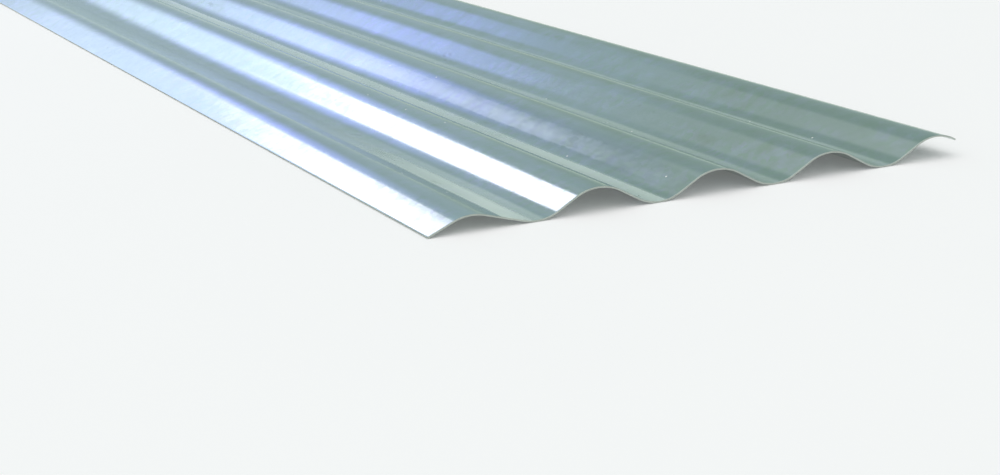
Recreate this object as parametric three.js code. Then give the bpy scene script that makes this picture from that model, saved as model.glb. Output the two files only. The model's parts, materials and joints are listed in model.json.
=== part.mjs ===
// A corrugated steel sheet: one flat strip rolled into long even waves.
//
// The waves run along Y, the sheet's width runs along X, and Z is up. The origin is under the
// middle of the sheet, at the level of the troughs' undersides, where the sheet lies.
//
// Millimetres throughout. Heights in the section are those of the sheet's middle surface,
// counted from the bottom of a trough.

import * as THREE from 'three';

// Driving dimensions
const LENGTH = 2438;
const THICKNESS = 1.6;
const PITCH = 127;
const WAVE_DEPTH = 22.2;
const CREST_COUNT = 5;
const BEND_RADIUS = 46;

// The first wave is shallower than the rest, and its outer flank ends at the troughs' level.
const FIRST_CREST_HEIGHT = 14.4;
const FIRST_CREST_TO_EDGE = 43;

// The last wave is cut off just past its crest.
const LAST_CREST_TO_EDGE = 23.5;

// The turn from one flat facet of a bend to the next
const FACET_ANGLE = THREE.MathUtils.degToRad(4);

const CREST = 1;
const TROUGH = -1;

// A bend is the circle that the middle surface follows over a crest or through a trough.
function bend(x, height, side) {
  return { x, z: height - side * BEND_RADIUS, side };
}

function bendsAcrossSheet() {
  const bends = [];
  for (let crest = 0; crest < CREST_COUNT; crest += 1) {
    const height = crest === 0 ? FIRST_CREST_HEIGHT : WAVE_DEPTH;
    if (crest > 0) {
      bends.push(bend((crest - 0.5) * PITCH, 0, TROUGH));
    }
    bends.push(bend(crest * PITCH, height, CREST));
  }
  return bends;
}

// The slope of the straight flank that touches two neighbouring bends from opposite sides.
function flankSlope(from, to) {
  const distance = Math.hypot(to.x - from.x, to.z - from.z);
  const direction = Math.atan2(to.z - from.z, to.x - from.x);
  return direction + to.side * Math.asin((2 * BEND_RADIUS) / distance);
}

// The slope of the straight outer flank that rises from the first edge onto the first crest.
function firstFlankSlope(edge, firstBend) {
  const distance = Math.hypot(firstBend.x - edge.x, firstBend.z - edge.y);
  const direction = Math.atan2(firstBend.z - edge.y, firstBend.x - edge.x);
  return direction + Math.asin(BEND_RADIUS / distance);
}

// The sheet's slope on the way into each bend, and last its slope at the far edge.
function slopesAcrossSheet(edge, bends) {
  const slopes = [firstFlankSlope(edge, bends[0])];
  for (let i = 1; i < bends.length; i += 1) {
    slopes.push(flankSlope(bends[i - 1], bends[i]));
  }
  slopes.push(-Math.asin(LAST_CREST_TO_EDGE / BEND_RADIUS));
  return slopes;
}

// The slopes at which a bend's facets meet. They lie evenly on both sides of level, so the facet
// in the middle of every crest and trough is level.
function facetSlopes(from, to) {
  const step = Math.sign(to - from) * FACET_ANGLE;
  const slopes = [from];
  for (let i = Math.ceil(from / step); i <= to / step - 1; i += 1) {
    slopes.push((i + 0.5) * step);
  }
  slopes.push(to);
  return slopes;
}

// The direction square to the sheet, up from it, where it has this slope.
function normalAt(slope) {
  return new THREE.Vector2(-Math.sin(slope), Math.cos(slope));
}

// One face of the sheet as a line across it. The offset is up from the middle surface. The facets
// touch the true arc in their middles, so their corners lie a little outside it.
function faceLine(edge, bends, slopes, offset) {
  const line = [normalAt(slopes[0]).multiplyScalar(offset).add(edge)];
  bends.forEach(({ x, z, side }, i) => {
    const centre = new THREE.Vector2(x, z);
    const cornerRadius = (side * BEND_RADIUS + offset) / Math.cos(FACET_ANGLE / 2);
    for (const slope of facetSlopes(slopes[i], slopes[i + 1])) {
      line.push(normalAt(slope).multiplyScalar(cornerRadius).add(centre));
    }
  });
  return line;
}

function sheetSection() {
  const edge = new THREE.Vector2(-FIRST_CREST_TO_EDGE, 0);
  const bends = bendsAcrossSheet();
  const slopes = slopesAcrossSheet(edge, bends);
  const upper = faceLine(edge, bends, slopes, THICKNESS / 2);
  const lower = faceLine(edge, bends, slopes, -THICKNESS / 2);
  return [...upper, ...lower.reverse()];
}

function corrugatedSheet(material) {
  const section = sheetSection();
  const box = new THREE.Box2().setFromPoints(section);
  const centre = box.getCenter(new THREE.Vector2());
  const geometry = new THREE.ExtrudeGeometry(new THREE.Shape(section), {
    depth: LENGTH,
    steps: 1,
    bevelEnabled: false,
  });
  const sheet = new THREE.Mesh(geometry, material);
  sheet.name = 'corrugated_sheet';
  sheet.rotation.x = Math.PI / 2;
  sheet.position.set(-centre.x, LENGTH / 2, -box.min.y);
  return sheet;
}

const galvanisedSteel = new THREE.MeshStandardMaterial({
  color: 0xb4bcc0,
  roughness: 0.32,
  metalness: 0.95,
});

const part = new THREE.Group();
part.add(corrugatedSheet(galvanisedSteel));

export default part;
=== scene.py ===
"""A corrugated steel sheet, hot-dip galvanised, lying on a pale floor.

Metres throughout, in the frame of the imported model: the waves run along Y, the sheet's width runs
along X, Z is up, and the troughs' undersides lie at height 0. The near end is the one at low Y.
"""

import json
import math

import bmesh
import bpy
from mathutils import Matrix, Vector

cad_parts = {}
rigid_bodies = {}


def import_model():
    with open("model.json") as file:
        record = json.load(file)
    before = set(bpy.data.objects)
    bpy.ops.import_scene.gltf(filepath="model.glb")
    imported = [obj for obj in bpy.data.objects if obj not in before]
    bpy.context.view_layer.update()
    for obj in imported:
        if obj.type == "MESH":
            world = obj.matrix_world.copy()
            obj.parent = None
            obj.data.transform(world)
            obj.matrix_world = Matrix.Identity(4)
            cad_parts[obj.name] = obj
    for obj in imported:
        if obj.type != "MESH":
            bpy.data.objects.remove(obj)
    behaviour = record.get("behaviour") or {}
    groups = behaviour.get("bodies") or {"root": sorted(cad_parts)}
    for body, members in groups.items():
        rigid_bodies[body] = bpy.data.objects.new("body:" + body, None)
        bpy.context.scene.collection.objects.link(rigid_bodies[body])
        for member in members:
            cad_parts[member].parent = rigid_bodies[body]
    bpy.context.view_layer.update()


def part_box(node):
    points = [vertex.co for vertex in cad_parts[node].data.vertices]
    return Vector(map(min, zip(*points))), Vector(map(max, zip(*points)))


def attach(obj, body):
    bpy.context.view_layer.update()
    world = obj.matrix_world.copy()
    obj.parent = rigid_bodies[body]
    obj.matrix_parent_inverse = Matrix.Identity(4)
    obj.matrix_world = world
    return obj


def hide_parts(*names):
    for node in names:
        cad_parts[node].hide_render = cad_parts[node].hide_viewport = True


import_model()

SHEET_LOW, SHEET_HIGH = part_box("corrugated_sheet")
SHEET_LENGTH = SHEET_HIGH.y - SHEET_LOW.y

# The rolled section, as its middle surface runs
THICKNESS = 0.0016
PITCH = 0.127
WAVE_DEPTH = 0.0222
CREST_COUNT = 5
BEND_RADIUS = 0.046
FIRST_CREST_HEIGHT = 0.0144
FIRST_CREST_TO_EDGE = 0.043
LAST_CREST_TO_EDGE = 0.0235
MIDDLE_AT_TROUGH = THICKNESS / 2

CREST = 1
TROUGH = -1

# How finely the sheet is divided, and how near to each other its corners are welded
BEND_STEP = math.radians(2.5)
FLANK_STEPS = 3
ROWS = 96
WELD_DISTANCE = 0.00001

# A narrow strip along every cut edge keeps the shading of the faces flat up to the rounding
EDGE_STRIP = 0.0012
SHEARED_ROUNDING = 0.0002

# Edges where the surface turns by more than the first angle are rounded, and those where it turns
# by less than the second are shaded smooth
ROUNDED_FROM = math.radians(60)
SMOOTH_UP_TO = math.radians(50)

# The flanks are never quite flat: they wander in and out within this range, over about this
# distance, and in full where the sheet's normal leans this far sideways
UNEVENNESS = 0.0003
UNEVEN_OVER = 0.11
FULL_LEAN = 0.5

# The place of the sheared edges' material on the sheet, after the one of the rolled faces
SHEARED_EDGES = 1


# --- selecting ---------------------------------------------------------------------------------


def deselect_objects():
    for thing in bpy.data.objects:
        thing.select_set(False)


def select_edges(piece, wanted):
    """In edit mode, selects the edges that pass the test on their two ends, and nothing else."""
    bpy.ops.mesh.select_mode(type="EDGE")
    bpy.ops.mesh.select_all(action="DESELECT")
    mesh = bmesh.from_edit_mesh(piece.data)
    for edge in mesh.edges:
        start, end = edge.verts
        if wanted(start.co, end.co):
            edge.select_set(True)
    bmesh.update_edit_mesh(piece.data)


# --- the section across the sheet --------------------------------------------------------------


def across(x, z):
    return Vector((x, 0.0, z))


def normal_at(slope):
    """The direction square to the sheet, up from it, where it has this slope."""
    return across(-math.sin(slope), math.cos(slope))


def bends_across_sheet(left_edge):
    """Each bend's axis and side, from left to right."""
    first_crest_x = left_edge.x + FIRST_CREST_TO_EDGE
    bends = []
    for crest in range(CREST_COUNT):
        x = first_crest_x + crest * PITCH
        height = FIRST_CREST_HEIGHT if crest == 0 else WAVE_DEPTH
        if crest > 0:
            bends.append((across(x - PITCH / 2, MIDDLE_AT_TROUGH + BEND_RADIUS), TROUGH))
        bends.append((across(x, MIDDLE_AT_TROUGH + height - BEND_RADIUS), CREST))
    return bends


def tangent_point(bend, slope):
    """Where the bend has this slope."""
    axis, side = bend
    return axis + normal_at(slope) * side * BEND_RADIUS


def flank_slope(from_bend, to_bend):
    """The slope of the straight flank that touches two neighbouring bends."""
    from_axis, _ = from_bend
    to_axis, to_side = to_bend
    reach = to_axis - from_axis
    return math.atan2(reach.z, reach.x) + to_side * math.asin(2 * BEND_RADIUS / reach.length)


def first_flank_slope():
    """The slope of the outer flank, from the left edge up to the first crest."""
    reach = across(FIRST_CREST_TO_EDGE, FIRST_CREST_HEIGHT - BEND_RADIUS)
    return math.atan2(reach.z, reach.x) + math.asin(BEND_RADIUS / reach.length)


def slopes_across_sheet(bends):
    """The sheet's slope on the way into each bend, and last its slope at the right edge."""
    slopes = [first_flank_slope()]
    for from_bend, to_bend in zip(bends, bends[1:]):
        slopes.append(flank_slope(from_bend, to_bend))
    slopes.append(-math.asin(LAST_CREST_TO_EDGE / BEND_RADIUS))
    return slopes


# --- rolling the sheet -------------------------------------------------------------------------


def edge_strip(left_edge, slope):
    """The narrow strip along the left edge: a plane as long as the sheet, cut into rows.

    It is left in edit mode with its right edge selected.
    """
    right_edge = left_edge + across(math.cos(slope), math.sin(slope)) * EDGE_STRIP
    bpy.ops.mesh.primitive_plane_add(
        size=EDGE_STRIP, location=(left_edge + right_edge) / 2, rotation=(0, -slope, 0)
    )
    bpy.ops.object.transform_apply(location=True, rotation=True, scale=True)
    sheet = bpy.context.object
    sheet.name = "rolled_sheet"
    sheet.data.name = "rolled_sheet"
    bpy.ops.object.mode_set(mode="EDIT")
    bpy.ops.transform.resize(value=(1, SHEET_LENGTH / EDGE_STRIP, 1))
    select_edges(sheet, lambda start, end: abs(start.y - end.y) > EDGE_STRIP)
    bpy.ops.mesh.subdivide(number_cuts=ROWS - 1)
    middle = (left_edge.x + right_edge.x) / 2
    select_edges(sheet, lambda start, end: min(start.x, end.x) > middle)
    return sheet, right_edge


def roll_bend(bend, slope_in, slope_out):
    """Carries the selected edge around a bend, with a row of corners where the bend is level."""
    axis, side = bend
    slopes = [slope_in, 0.0, slope_out]
    for before, after in zip(slopes, slopes[1:]):
        turn = abs(after - before)
        steps = math.ceil(turn / BEND_STEP)
        bpy.ops.mesh.spin(steps=steps, angle=turn, center=axis, axis=(0, -side, 0))


def draw_flank(start, end):
    """Carries the selected edge straight on."""
    step = (end - start) / FLANK_STEPS
    for _ in range(FLANK_STEPS):
        bpy.ops.mesh.extrude_edges_move(TRANSFORM_OT_translate={"value": step})


def cut_end_strips():
    """Cuts the sheet across, close to its two ends."""
    for side in (-1, 1):
        bpy.ops.mesh.select_all(action="SELECT")
        cut_y = side * (SHEET_LENGTH / 2 - EDGE_STRIP)
        bpy.ops.mesh.bisect(plane_co=(0, cut_y, 0), plane_no=(0, 1, 0))


def middle_surface():
    """The sheet with no thickness yet, rolled from its left edge to its right."""
    first_slope = first_flank_slope()
    left_edge = across(SHEET_LOW.x + math.sin(first_slope) * THICKNESS / 2, MIDDLE_AT_TROUGH)
    bends = bends_across_sheet(left_edge)
    slopes = slopes_across_sheet(bends)
    sheet, reached = edge_strip(left_edge, first_slope)
    for bend, slope_in, slope_out in zip(bends, slopes, slopes[1:]):
        draw_flank(reached, tangent_point(bend, slope_in))
        roll_bend(bend, slope_in, slope_out)
        reached = tangent_point(bend, slope_out)
    cut_end_strips()
    bpy.ops.mesh.select_all(action="SELECT")
    bpy.ops.mesh.remove_doubles(threshold=WELD_DISTANCE)
    bpy.ops.mesh.normals_make_consistent(inside=False)
    bpy.ops.object.mode_set(mode="OBJECT")
    return sheet


def apply_modifier(piece, kind, **settings):
    modifier = piece.modifiers.new(kind.lower(), kind)
    for setting, value in settings.items():
        setattr(modifier, setting, value)
    bpy.ops.object.modifier_apply(modifier=modifier.name)


def make_uneven(sheet):
    """Lets the flanks wander a little. Crests and troughs keep their line and their height."""
    flanks = sheet.vertex_groups.new(name="flanks")
    for corner in sheet.data.vertices:
        flanks.add([corner.index], min(1.0, abs(corner.normal.x) / FULL_LEAN), "REPLACE")
    wander = bpy.data.textures.new("wander", "CLOUDS")
    wander.noise_scale = UNEVEN_OVER
    wander.noise_depth = 1
    apply_modifier(
        sheet,
        "DISPLACE",
        texture=wander,
        texture_coords="LOCAL",
        strength=UNEVENNESS,
        mid_level=0.5,
        vertex_group=flanks.name,
    )
    sheet.vertex_groups.clear()


def make_sheet():
    deselect_objects()
    sheet = middle_surface()
    make_uneven(sheet)
    for material in (galvanised_steel(), sheared_steel()):
        sheet.data.materials.append(material)
    apply_modifier(
        sheet,
        "SOLIDIFY",
        thickness=THICKNESS,
        offset=0,
        use_even_offset=True,
        material_offset_rim=SHEARED_EDGES,
    )
    apply_modifier(
        sheet,
        "BEVEL",
        width=SHEARED_ROUNDING,
        segments=2,
        limit_method="ANGLE",
        angle_limit=ROUNDED_FROM,
    )
    bpy.ops.object.shade_smooth_by_angle(angle=SMOOTH_UP_TO)
    return sheet


# --- building with shader nodes ----------------------------------------------------------------


# The sockets of a mix of colours, by their places, because its node has several of each name
MIX_MASK = 0
MIX_FIRST_COLOUR = 6
MIX_SECOND_COLOUR = 7
MIX_COLOUR = 2


def new_material(name):
    """A new material, with its node tree and its shader."""
    material = bpy.data.materials.new(name)
    material.use_nodes = True
    return material, material.node_tree, material.node_tree.nodes["Principled BSDF"]


def add_node(tree, kind, inputs=(), **settings):
    """Adds a node. Each of its inputs is given by name or place, and is a value or an output."""
    node = tree.nodes.new(kind)
    for setting, value in settings.items():
        setattr(node, setting, value)
    for socket, value in dict(inputs).items():
        if isinstance(value, bpy.types.NodeSocket):
            tree.links.new(value, node.inputs[socket])
        else:
            node.inputs[socket].default_value = value
    return node


def arithmetic(tree, operation, first, second):
    """One sum on two values, each of them a number or an output."""
    return add_node(tree, "ShaderNodeMath", {0: first, 1: second}, operation=operation).outputs[0]


def product(tree, first, *others):
    """All the values multiplied."""
    result = first
    for factor in others:
        result = arithmetic(tree, "MULTIPLY", result, factor)
    return result


def vector_arithmetic(tree, operation, *operands):
    """One sum on vectors or colours, each of them given or an output."""
    inputs = dict(enumerate(operands))
    node = add_node(tree, "ShaderNodeVectorMath", inputs, operation=operation)
    return node.outputs["Vector"]


def between(tree, mask, low, high):
    """The mask, from 0 to 1, carried over to a value from low to high."""
    inputs = {"Value": mask, "To Min": low, "To Max": high}
    return add_node(tree, "ShaderNodeMapRange", inputs).outputs["Result"]


def faded(tree, value, start, end):
    """A mask that rises smoothly from 0 at the start value to 1 at the end value."""
    return add_node(
        tree,
        "ShaderNodeMapRange",
        {"Value": value, "From Min": start, "From Max": end},
        interpolation_type="SMOOTHSTEP",
    ).outputs["Result"]


def blended(tree, mask, first, second):
    """The first colour where the mask is 0, and the second where it is 1."""
    inputs = {MIX_MASK: mask, MIX_FIRST_COLOUR: first, MIX_SECOND_COLOUR: second}
    return add_node(tree, "ShaderNodeMix", inputs, data_type="RGBA").outputs[MIX_COLOUR]


def noise(tree, place, size, detail, roughness=0.5, stretch=None):
    """Soft noise in patches about this far across, drawn out this many times along X, Y and Z."""
    if stretch:
        scale = [1 / times for times in stretch]
        mapping = add_node(tree, "ShaderNodeMapping", {"Vector": place, "Scale": scale})
        place = mapping.outputs["Vector"]
    sockets = {"Vector": place, "Scale": 1 / size, "Detail": detail, "Roughness": roughness}
    return add_node(tree, "ShaderNodeTexNoise", sockets).outputs["Fac"]


# --- the zinc coating --------------------------------------------------------------------------


# The crystals in which the zinc set: their size, lean, colours and roughness, and the wobble that
# makes their borders ragged
CRYSTAL = 0.0075
CRYSTAL_TILT = 0.009
GREENER_CRYSTAL = (0.475, 0.58, 0.51, 1)
BLUER_CRYSTAL = (0.535, 0.58, 0.625, 1)
CRYSTAL_ROUGHNESS = (0.135, 0.185)
BORDER_WOBBLE = 0.006
WOBBLES_PER_METRE = 160.0

# Soft clouds and smears in the zinc's colour, and ripples in its surface. The smears' mask is
# stretched over the range given here and cut off at 0 and 1, which makes them crisper.
GREENER_CLOUD = (0.76, 0.81, 0.58, 1)
BLUER_CLOUD = (1.24, 1.19, 1.42, 1)
SMEARED_ZINC = (0.485, 0.565, 0.525, 1)
SMEAR_CONTRAST = (-0.9, 1.9)
RIPPLE_HEIGHT = 0.00004

# How much the roughness varies with each of these
PATCH_SPREAD = 0.03
SMEAR_SPREAD = 0.03
ROLL_MARK_SPREAD = 0.02

# Each pair of limits below says where a thing begins and where it is there in full.

# Painted shade on the outermost flank: it is made darker and bluer, except near the near end
UNCHANGED = (1, 1, 1, 1)
PAINTED_SHADE_ON_OUTER_FLANK = (0.90, 0.885, 0.97, 1)
PAINTED_SHADE_ON_OUTER_FLANK_X = (-0.238, -0.262)
PAINTED_SHADE_ON_OUTER_FLANK_Y = (-1.05, -0.80)

# Painted shade on the third wave's left flank: a patch made darker and bluer
PAINTED_SHADE_ON_THIRD_WAVE = (0.84, 0.86, 0.93, 1)
THIRD_WAVE_SHADE_FROM_LEFT_X = (-0.046, -0.032)
THIRD_WAVE_SHADE_FROM_RIGHT_X = (0.002, -0.012)
THIRD_WAVE_SHADE_FROM_NEAR_Y = (-1.19, -1.08)
THIRD_WAVE_SHADE_FROM_FAR_Y = (-0.45, -0.70)

# The film in the valleys. Its level wavers, and it reaches higher up a valley's left side, which
# faces right. The two valleys on the left have most of it.
FILM = (0.85, 0.97, 0.90, 1)
FILM_LEVEL = (0.0062, 0.0038)
FILM_WAVER = 0.0015
FILM_HIGHER_ON_LEFT_SIDE = 0.018
FILM_ROUGHENS = 0.3
UPPER_FACE = (0.0, 0.3)
LEFT_VALLEYS_X = (0.03, -0.03)
FILM_IN_RIGHT_AND_LEFT_VALLEYS = (0.28, 0.52)
FILM_DRIFTS = (0.3, 0.6)
FILM_AT_ITS_THINNEST = 0.7

# In the first valley it lies thick on the left side, and is washed off except near the near end
FIRST_VALLEY_X = (-0.11, -0.13)
FIRST_VALLEY_LEFT_SIDE = (0.0, 0.22)
FILM_ON_RIGHT_AND_LEFT_SIDE = (0.3, 0.85)
WASHED_Y = (-1.15, -0.65)
LEFT_WHERE_WASHED = 0.15

# White splashes: this far apart, of this radius, and with this share of them missing
SPECK = (0.9, 0.92, 0.9, 1)
SPECK_SPACING = 0.11
SPECK_RADIUS = 0.0013
SPECKS_MISSING = 0.6

# Smudges of dirt
DIRT = (0.33, 0.39, 0.33, 1)
DIRT_FROM = (0.67, 0.76)
DIRT_THICKNESS = 0.6


def zinc_crystals(tree, place):
    """The crystals, as a random colour that is the same all over each."""
    wobble = add_node(
        tree, "ShaderNodeTexNoise", {"Vector": place, "Scale": WOBBLES_PER_METRE, "Detail": 2.0}
    ).outputs["Color"]
    reach = (BORDER_WOBBLE, BORDER_WOBBLE, BORDER_WOBBLE)
    wobbled = vector_arithmetic(tree, "MULTIPLY_ADD", wobble, reach, place)
    return add_node(
        tree, "ShaderNodeTexVoronoi", {"Vector": wobbled, "Scale": 1 / CRYSTAL}
    ).outputs["Color"]


def tilted_facets(tree, crystals):
    """The sheet's normal, leaning a little to a side of its own in each crystal."""
    normal = add_node(tree, "ShaderNodeNewGeometry").outputs["Normal"]
    lean = (CRYSTAL_TILT, CRYSTAL_TILT, CRYSTAL_TILT)
    centred = vector_arithmetic(tree, "SUBTRACT", crystals, (0.5, 0.5, 0.5))
    leaning = vector_arithmetic(tree, "MULTIPLY_ADD", centred, lean, normal)
    return vector_arithmetic(tree, "NORMALIZE", leaning)


def rippled_facets(tree, place, crystals):
    """The crystals' facets with faint ripples over them."""
    ripple = noise(tree, place, size=0.03, detail=2.0)
    normal = tilted_facets(tree, crystals)
    return add_node(
        tree,
        "ShaderNodeBump",
        {"Height": ripple, "Strength": 1.0, "Distance": RIPPLE_HEIGHT, "Normal": normal},
    ).outputs["Normal"]


def painted_shade_on_outer_flank(tree, spot):
    """Where shade is painted on the outermost flank: all of it but its near end."""
    return product(tree, faded(tree, spot["X"], *PAINTED_SHADE_ON_OUTER_FLANK_X), faded(tree, spot["Y"], *PAINTED_SHADE_ON_OUTER_FLANK_Y))


def painted_shade_on_third_wave(tree, spot):
    """Where shade is painted on the third wave's left flank."""
    return product(
        tree,
        faded(tree, spot["X"], *THIRD_WAVE_SHADE_FROM_LEFT_X),
        faded(tree, spot["X"], *THIRD_WAVE_SHADE_FROM_RIGHT_X),
        faded(tree, spot["Y"], *THIRD_WAVE_SHADE_FROM_NEAR_Y),
        faded(tree, spot["Y"], *THIRD_WAVE_SHADE_FROM_FAR_Y),
    )


def zinc_colour(tree, place, spot, tone, smears):
    """The zinc with nothing on it: a tone for each crystal, clouds and smears, and shade painted
    darker and bluer on two flanks.
    """
    zinc = blended(tree, tone, GREENER_CRYSTAL, BLUER_CRYSTAL)
    clouds = noise(tree, place, size=0.03, detail=2.0)
    cast = blended(tree, clouds, GREENER_CLOUD, BLUER_CLOUD)
    zinc = vector_arithmetic(tree, "MULTIPLY", zinc, cast)
    zinc = blended(tree, between(tree, smears, *SMEAR_CONTRAST), zinc, SMEARED_ZINC)
    # Painted shade: the outermost flank and a patch on the third wave's left flank are made darker
    # and bluer
    for mask, tone_there in ((painted_shade_on_outer_flank(tree, spot), PAINTED_SHADE_ON_OUTER_FLANK), (painted_shade_on_third_wave(tree, spot), PAINTED_SHADE_ON_THIRD_WAVE)):
        change = blended(tree, mask, UNCHANGED, tone_there)
        zinc = vector_arithmetic(tree, "MULTIPLY", zinc, change)
    return zinc


def zinc_roughness(tree, place, tone, smears, film):
    """How rough it is: by crystal, patch, smear and roll mark, and more under the film."""
    patches = noise(tree, place, size=0.16, detail=4.0, roughness=0.6)
    roll_marks = noise(tree, place, size=0.0022, detail=3.0, stretch=(1, 50, 1))
    rough = between(tree, tone, *CRYSTAL_ROUGHNESS)
    for mask, spread in (
        (patches, PATCH_SPREAD),
        (smears, SMEAR_SPREAD),
        (roll_marks, ROLL_MARK_SPREAD),
    ):
        rough = arithmetic(tree, "ADD", rough, between(tree, mask, -spread, spread))
    return arithmetic(tree, "ADD", rough, product(tree, film, FILM_ROUGHENS))


def film_amount(tree, spot, rightwards):
    """How thick the film lies in each valley, from left to right and along the sheet."""
    in_left_valleys = faded(tree, spot["X"], *LEFT_VALLEYS_X)
    amount = between(tree, in_left_valleys, *FILM_IN_RIGHT_AND_LEFT_VALLEYS)
    first_valley = faded(tree, spot["X"], *FIRST_VALLEY_X)
    on_left_side = faded(tree, rightwards, *FIRST_VALLEY_LEFT_SIDE)
    amount_in_first = between(tree, on_left_side, *FILM_ON_RIGHT_AND_LEFT_SIDE)
    amount = between(tree, first_valley, amount, amount_in_first)
    washed = product(tree, first_valley, faded(tree, spot["Y"], *WASHED_Y))
    return product(tree, amount, between(tree, washed, 1.0, LEFT_WHERE_WASHED))


def pale_film(tree, place, spot):
    """The pale film that rain left on the upper face, along the valleys."""
    facing = add_node(tree, "ShaderNodeTexCoord").outputs["Normal"]
    rightwards, _, upwards = add_node(tree, "ShaderNodeSeparateXYZ", {"Vector": facing}).outputs
    higher = product(tree, rightwards, FILM_HIGHER_ON_LEFT_SIDE)
    level = arithmetic(tree, "SUBTRACT", spot["Z"], higher)
    waver = noise(tree, place, size=0.06, detail=1.0, stretch=(1, 4, 1))
    level = arithmetic(tree, "ADD", level, between(tree, waver, -FILM_WAVER, FILM_WAVER))
    drifts = noise(tree, place, size=0.06, detail=2.0, stretch=(1, 5, 1))
    return product(
        tree,
        faded(tree, level, *FILM_LEVEL),
        film_amount(tree, spot, rightwards),
        between(tree, faded(tree, drifts, *FILM_DRIFTS), FILM_AT_ITS_THINNEST, 1.0),
        faded(tree, upwards, *UPPER_FACE),
    )


def white_specks(tree, place):
    """Splashes of a millimetre or two, few and far between."""
    spots = add_node(
        tree,
        "ShaderNodeTexVoronoi",
        {"Vector": place, "Scale": 1 / SPECK_SPACING},
        voronoi_dimensions="2D",
    ).outputs
    lot = add_node(tree, "ShaderNodeSeparateColor", {"Color": spots["Color"]}).outputs["Red"]
    kept = arithmetic(tree, "GREATER_THAN", lot, SPECKS_MISSING)
    reach = SPECK_RADIUS / SPECK_SPACING
    near = add_node(
        tree,
        "ShaderNodeMapRange",
        {"Value": spots["Distance"], "From Min": reach, "From Max": reach / 2},
    ).outputs["Result"]
    return product(tree, kept, near)


def smudges_of_dirt(tree, place):
    """Faint dark smudges from handling, one here and there, drawn out along the waves."""
    grime = noise(tree, place, size=0.028, detail=3.0, roughness=0.6, stretch=(1, 2.5, 1))
    return product(tree, faded(tree, grime, *DIRT_FROM), DIRT_THICKNESS)


def galvanised_steel():
    """The zinc coating and what lies on it: film, smudges of dirt and white specks."""
    material, tree, shader = new_material("zinc_coating")
    place = add_node(tree, "ShaderNodeTexCoord").outputs["Object"]
    spot = add_node(tree, "ShaderNodeSeparateXYZ", {"Vector": place}).outputs
    crystals = zinc_crystals(tree, place)
    tones = add_node(tree, "ShaderNodeSeparateColor", {"Color": crystals}).outputs
    smears = noise(tree, place, size=0.03, detail=4.0, roughness=0.6, stretch=(1, 5, 1))
    film = pale_film(tree, place, spot)
    specks = white_specks(tree, place)

    colour = zinc_colour(tree, place, spot, tones["Red"], smears)
    colour = blended(tree, film, colour, FILM)
    colour = blended(tree, smudges_of_dirt(tree, place), colour, DIRT)
    colour = blended(tree, specks, colour, SPECK)
    tree.links.new(colour, shader.inputs["Base Color"])

    roughness = zinc_roughness(tree, place, tones["Green"], smears, film)
    tree.links.new(roughness, shader.inputs["Roughness"])
    covered = arithmetic(tree, "MAXIMUM", film, specks)
    tree.links.new(arithmetic(tree, "SUBTRACT", 1.0, covered), shader.inputs["Metallic"])
    tree.links.new(rippled_facets(tree, place, crystals), shader.inputs["Normal"])
    return material


# --- the sheared edges and the floor -----------------------------------------------------------


# Bare steel between its scores and in them
DARK_STEEL = (0.36, 0.40, 0.37, 1)
BRIGHT_STEEL = (0.60, 0.66, 0.60, 1)
STEEL_ROUGHNESS = (0.5, 0.32)

# The floor's paint and the light that it adds where it is seen or reflected
DARKER_PAINT = (0.905, 0.905, 0.905, 1)
LIGHTER_PAINT = (0.925, 0.925, 0.925, 1)
PAINT_ROUGHNESS = 0.85
NO_GLOW = (0, 0, 0, 1)
FAINT_GLOW = (0.1, 0.1, 0.1, 1)

# The floor, which lies a hair under the troughs
FLOOR_SIZE = 60
FLOOR_HEIGHT = -0.0002


def sheared_steel():
    """Bare steel where the shears cut through, scored across the thickness."""
    material, tree, shader = new_material("sheared_steel")
    place = add_node(tree, "ShaderNodeTexCoord").outputs["Object"]
    scores = noise(tree, place, size=0.0006, detail=4.0, stretch=(1, 1, 12.5))
    colour = blended(tree, scores, DARK_STEEL, BRIGHT_STEEL)
    tree.links.new(colour, shader.inputs["Base Color"])
    tree.links.new(between(tree, scores, *STEEL_ROUGHNESS), shader.inputs["Roughness"])
    shader.inputs["Metallic"].default_value = 1
    return material


def pale_floor_paint():
    """Matt pale paint with a faint mottle."""
    material, tree, shader = new_material("pale_floor_paint")
    place = add_node(tree, "ShaderNodeTexCoord").outputs["Object"]
    mottle = noise(tree, place, size=0.5, detail=5.0)
    colour = blended(tree, mottle, DARKER_PAINT, LIGHTER_PAINT)
    tree.links.new(colour, shader.inputs["Base Color"])
    shader.inputs["Roughness"].default_value = PAINT_ROUGHNESS
    seen = add_node(tree, "ShaderNodeLightPath").outputs
    lift = arithmetic(tree, "MAXIMUM", seen["Is Camera Ray"], seen["Is Glossy Ray"])
    lift = arithmetic(tree, "MAXIMUM", lift, seen["Is Transmission Ray"])
    glow = blended(tree, lift, NO_GLOW, FAINT_GLOW)
    tree.links.new(glow, shader.inputs["Emission Color"])
    shader.inputs["Emission Strength"].default_value = 1
    return material


def make_floor():
    deselect_objects()
    bpy.ops.mesh.primitive_plane_add(size=FLOOR_SIZE, location=(0, 0, FLOOR_HEIGHT))
    floor = bpy.context.object
    floor.name = "floor"
    floor.data.materials.append(pale_floor_paint())


# --- lights and camera -------------------------------------------------------------------------


# What the room is like, as brightness in red, green and blue, 1 being white
NEAR_WALL = (0.42, 0.44, 0.44, 1)
FAR_WALL = (0.345, 0.45, 0.435, 1)
FOOT_OF_FAR_WALL = (0.60, 0.73, 0.62, 1)
BROAD_LIGHT = (1.36, 1.35, 1.35, 1)
BROAD_LIGHT_FROM = (-0.089, -0.243, 0.966)

# Where the parts of the room meet, as parts of a direction of length 1
TOP_OF_FOOT = 0.14
FAR_SIDE = 0.6
EDGE_OF_BROAD_LIGHT = 0.35

# The first soft panel's plane. Each of the others stands a little behind the one before, because
# panels in one plane would hide each other instead of adding up.
PANELS_Y = 2.0
PANEL_GAP = 0.02

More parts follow.
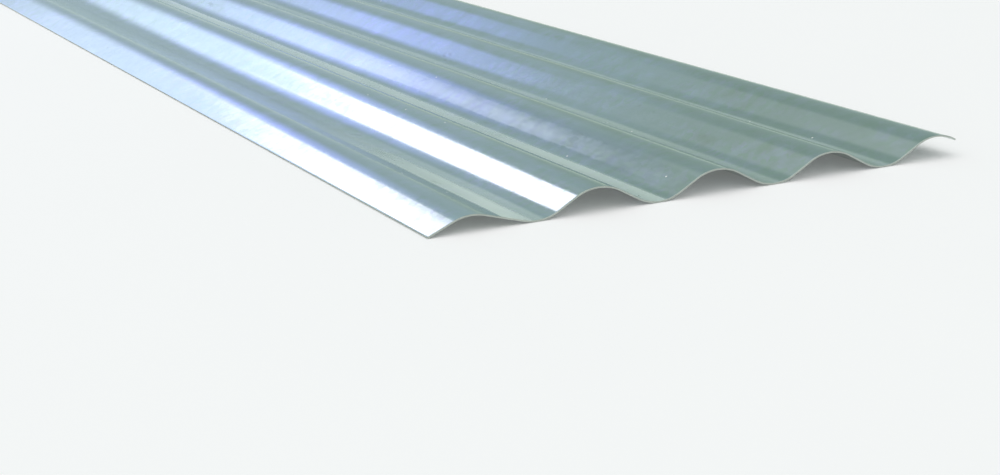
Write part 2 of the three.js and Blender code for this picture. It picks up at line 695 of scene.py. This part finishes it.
CAMERA_PLACE = Vector((-0.9263, -2.6800, 0.4386))
CAMERA_TURN = math.radians(-25.87)
CAMERA_TILT = math.radians(15.41)
CAMERA_ROLL = math.radians(-1.75)
LENS = 68.64
SENSOR_WIDTH = 36


def add_soft_panel(name, place, size, core, brightness, colour):
    """An upright light beyond the sheet's far end, which shows in the metal and not on the floor.

    It fades out from its core to its edges. Its brightness is what a mirror would show of its
    core, 1 being white.
    """
    width, height = size
    lamp = bpy.data.lights.new(name, "AREA")
    lamp.shape = "RECTANGLE"
    lamp.size = width
    lamp.size_y = height
    lamp.energy = brightness * math.pi * width * height
    lamp.color = colour
    lamp.use_nodes = True
    tree = lamp.node_tree
    corner = add_node(tree, "ShaderNodeTexCoord").outputs["UV"]
    from_middle = add_node(
        tree,
        "ShaderNodeMapping",
        {"Vector": corner, "Location": (-1.0, -1.0, 0.0), "Scale": (2.0, 2.0, 0.0)},
    ).outputs["Vector"]
    reach = add_node(
        tree, "ShaderNodeVectorMath", {0: from_middle}, operation="LENGTH"
    ).outputs["Value"]
    tree.links.new(faded(tree, reach, 1.0, core), tree.nodes["Emission"].inputs["Strength"])
    panel = bpy.data.objects.new(name, lamp)
    bpy.context.scene.collection.objects.link(panel)
    panel.location = place
    panel.rotation_euler = (math.radians(-90), 0, 0)
    panel.visible_camera = False
    panel.visible_diffuse = False


def studio_room():
    """Plain dim walls, the far one a little lighter at its foot, and a broad soft light.

    The broad light is the room itself: it is brightest high up on the near side, and fades out
    towards the walls.
    """
    world = bpy.data.worlds.new("studio")
    world.use_nodes = True
    tree = world.node_tree
    direction = add_node(tree, "ShaderNodeTexCoord").outputs["Generated"]
    _, far, up = add_node(tree, "ShaderNodeSeparateXYZ", {"Vector": direction}).outputs
    far_wall = blended(tree, faded(tree, up, 0.0, TOP_OF_FOOT), FOOT_OF_FAR_WALL, FAR_WALL)
    wall = blended(tree, faded(tree, far, 0.0, FAR_SIDE), NEAR_WALL, far_wall)
    towards_light = add_node(
        tree, "ShaderNodeVectorMath", {0: direction, 1: BROAD_LIGHT_FROM}, operation="DOT_PRODUCT"
    ).outputs["Value"]
    lit = faded(tree, towards_light, EDGE_OF_BROAD_LIGHT, 1.0)
    colour = blended(tree, lit, wall, BROAD_LIGHT)
    tree.links.new(colour, tree.nodes["Background"].inputs["Color"])
    bpy.context.scene.world = world


def light_the_room():
    studio_room()
    add_soft_panel(
        "window",
        place=(-0.07, PANELS_Y, 1.70),
        size=(0.37, 1.68),
        core=0.28,
        brightness=3.1,
        colour=(0.90, 0.81, 1),
    )
    add_soft_panel(
        "pale_panel",
        place=(-1.03, PANELS_Y + PANEL_GAP, 0.84),
        size=(2.88, 1.62),
        core=0.6,
        brightness=1.19,
        colour=(0.65, 0.72, 1),
    )
    add_soft_panel(
        "blue_panel",
        place=(0.20, PANELS_Y + 2 * PANEL_GAP, 1.09),
        size=(1.06, 1.24),
        core=0,
        brightness=0.97,
        colour=(0.30, 0.31, 1),
    )
    add_soft_panel(
        "side_panel",
        place=(0.32, PANELS_Y + 3 * PANEL_GAP, 0.95),
        size=(2.98, 2.48),
        core=0.58,
        brightness=0.18,
        colour=(0.50, 0.56, 1),
    )
    add_soft_panel(
        "high_panel",
        place=(0.55, PANELS_Y + 4 * PANEL_GAP, 2.98),
        size=(1.40, 3.54),
        core=0,
        brightness=0.21,
        colour=(1, 0.90, 1),
    )


def add_camera():
    camera = bpy.data.objects.new("camera", bpy.data.cameras.new("camera"))
    bpy.context.scene.collection.objects.link(camera)
    camera.data.sensor_width = SENSOR_WIDTH
    camera.data.lens = LENS
    turn = Matrix.Rotation(CAMERA_TURN, 4, "Z")
    tilt = Matrix.Rotation(math.radians(90) - CAMERA_TILT, 4, "X")
    roll = Matrix.Rotation(CAMERA_ROLL, 4, "Z")
    camera.matrix_world = Matrix.Translation(CAMERA_PLACE) @ turn @ tilt @ roll
    bpy.context.scene.camera = camera


def main():
    sheet = make_sheet()
    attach(sheet, "root")
    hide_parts("corrugated_sheet")
    make_floor()
    light_the_room()
    add_camera()
    bpy.context.scene.view_settings.view_transform = "Standard"


main()
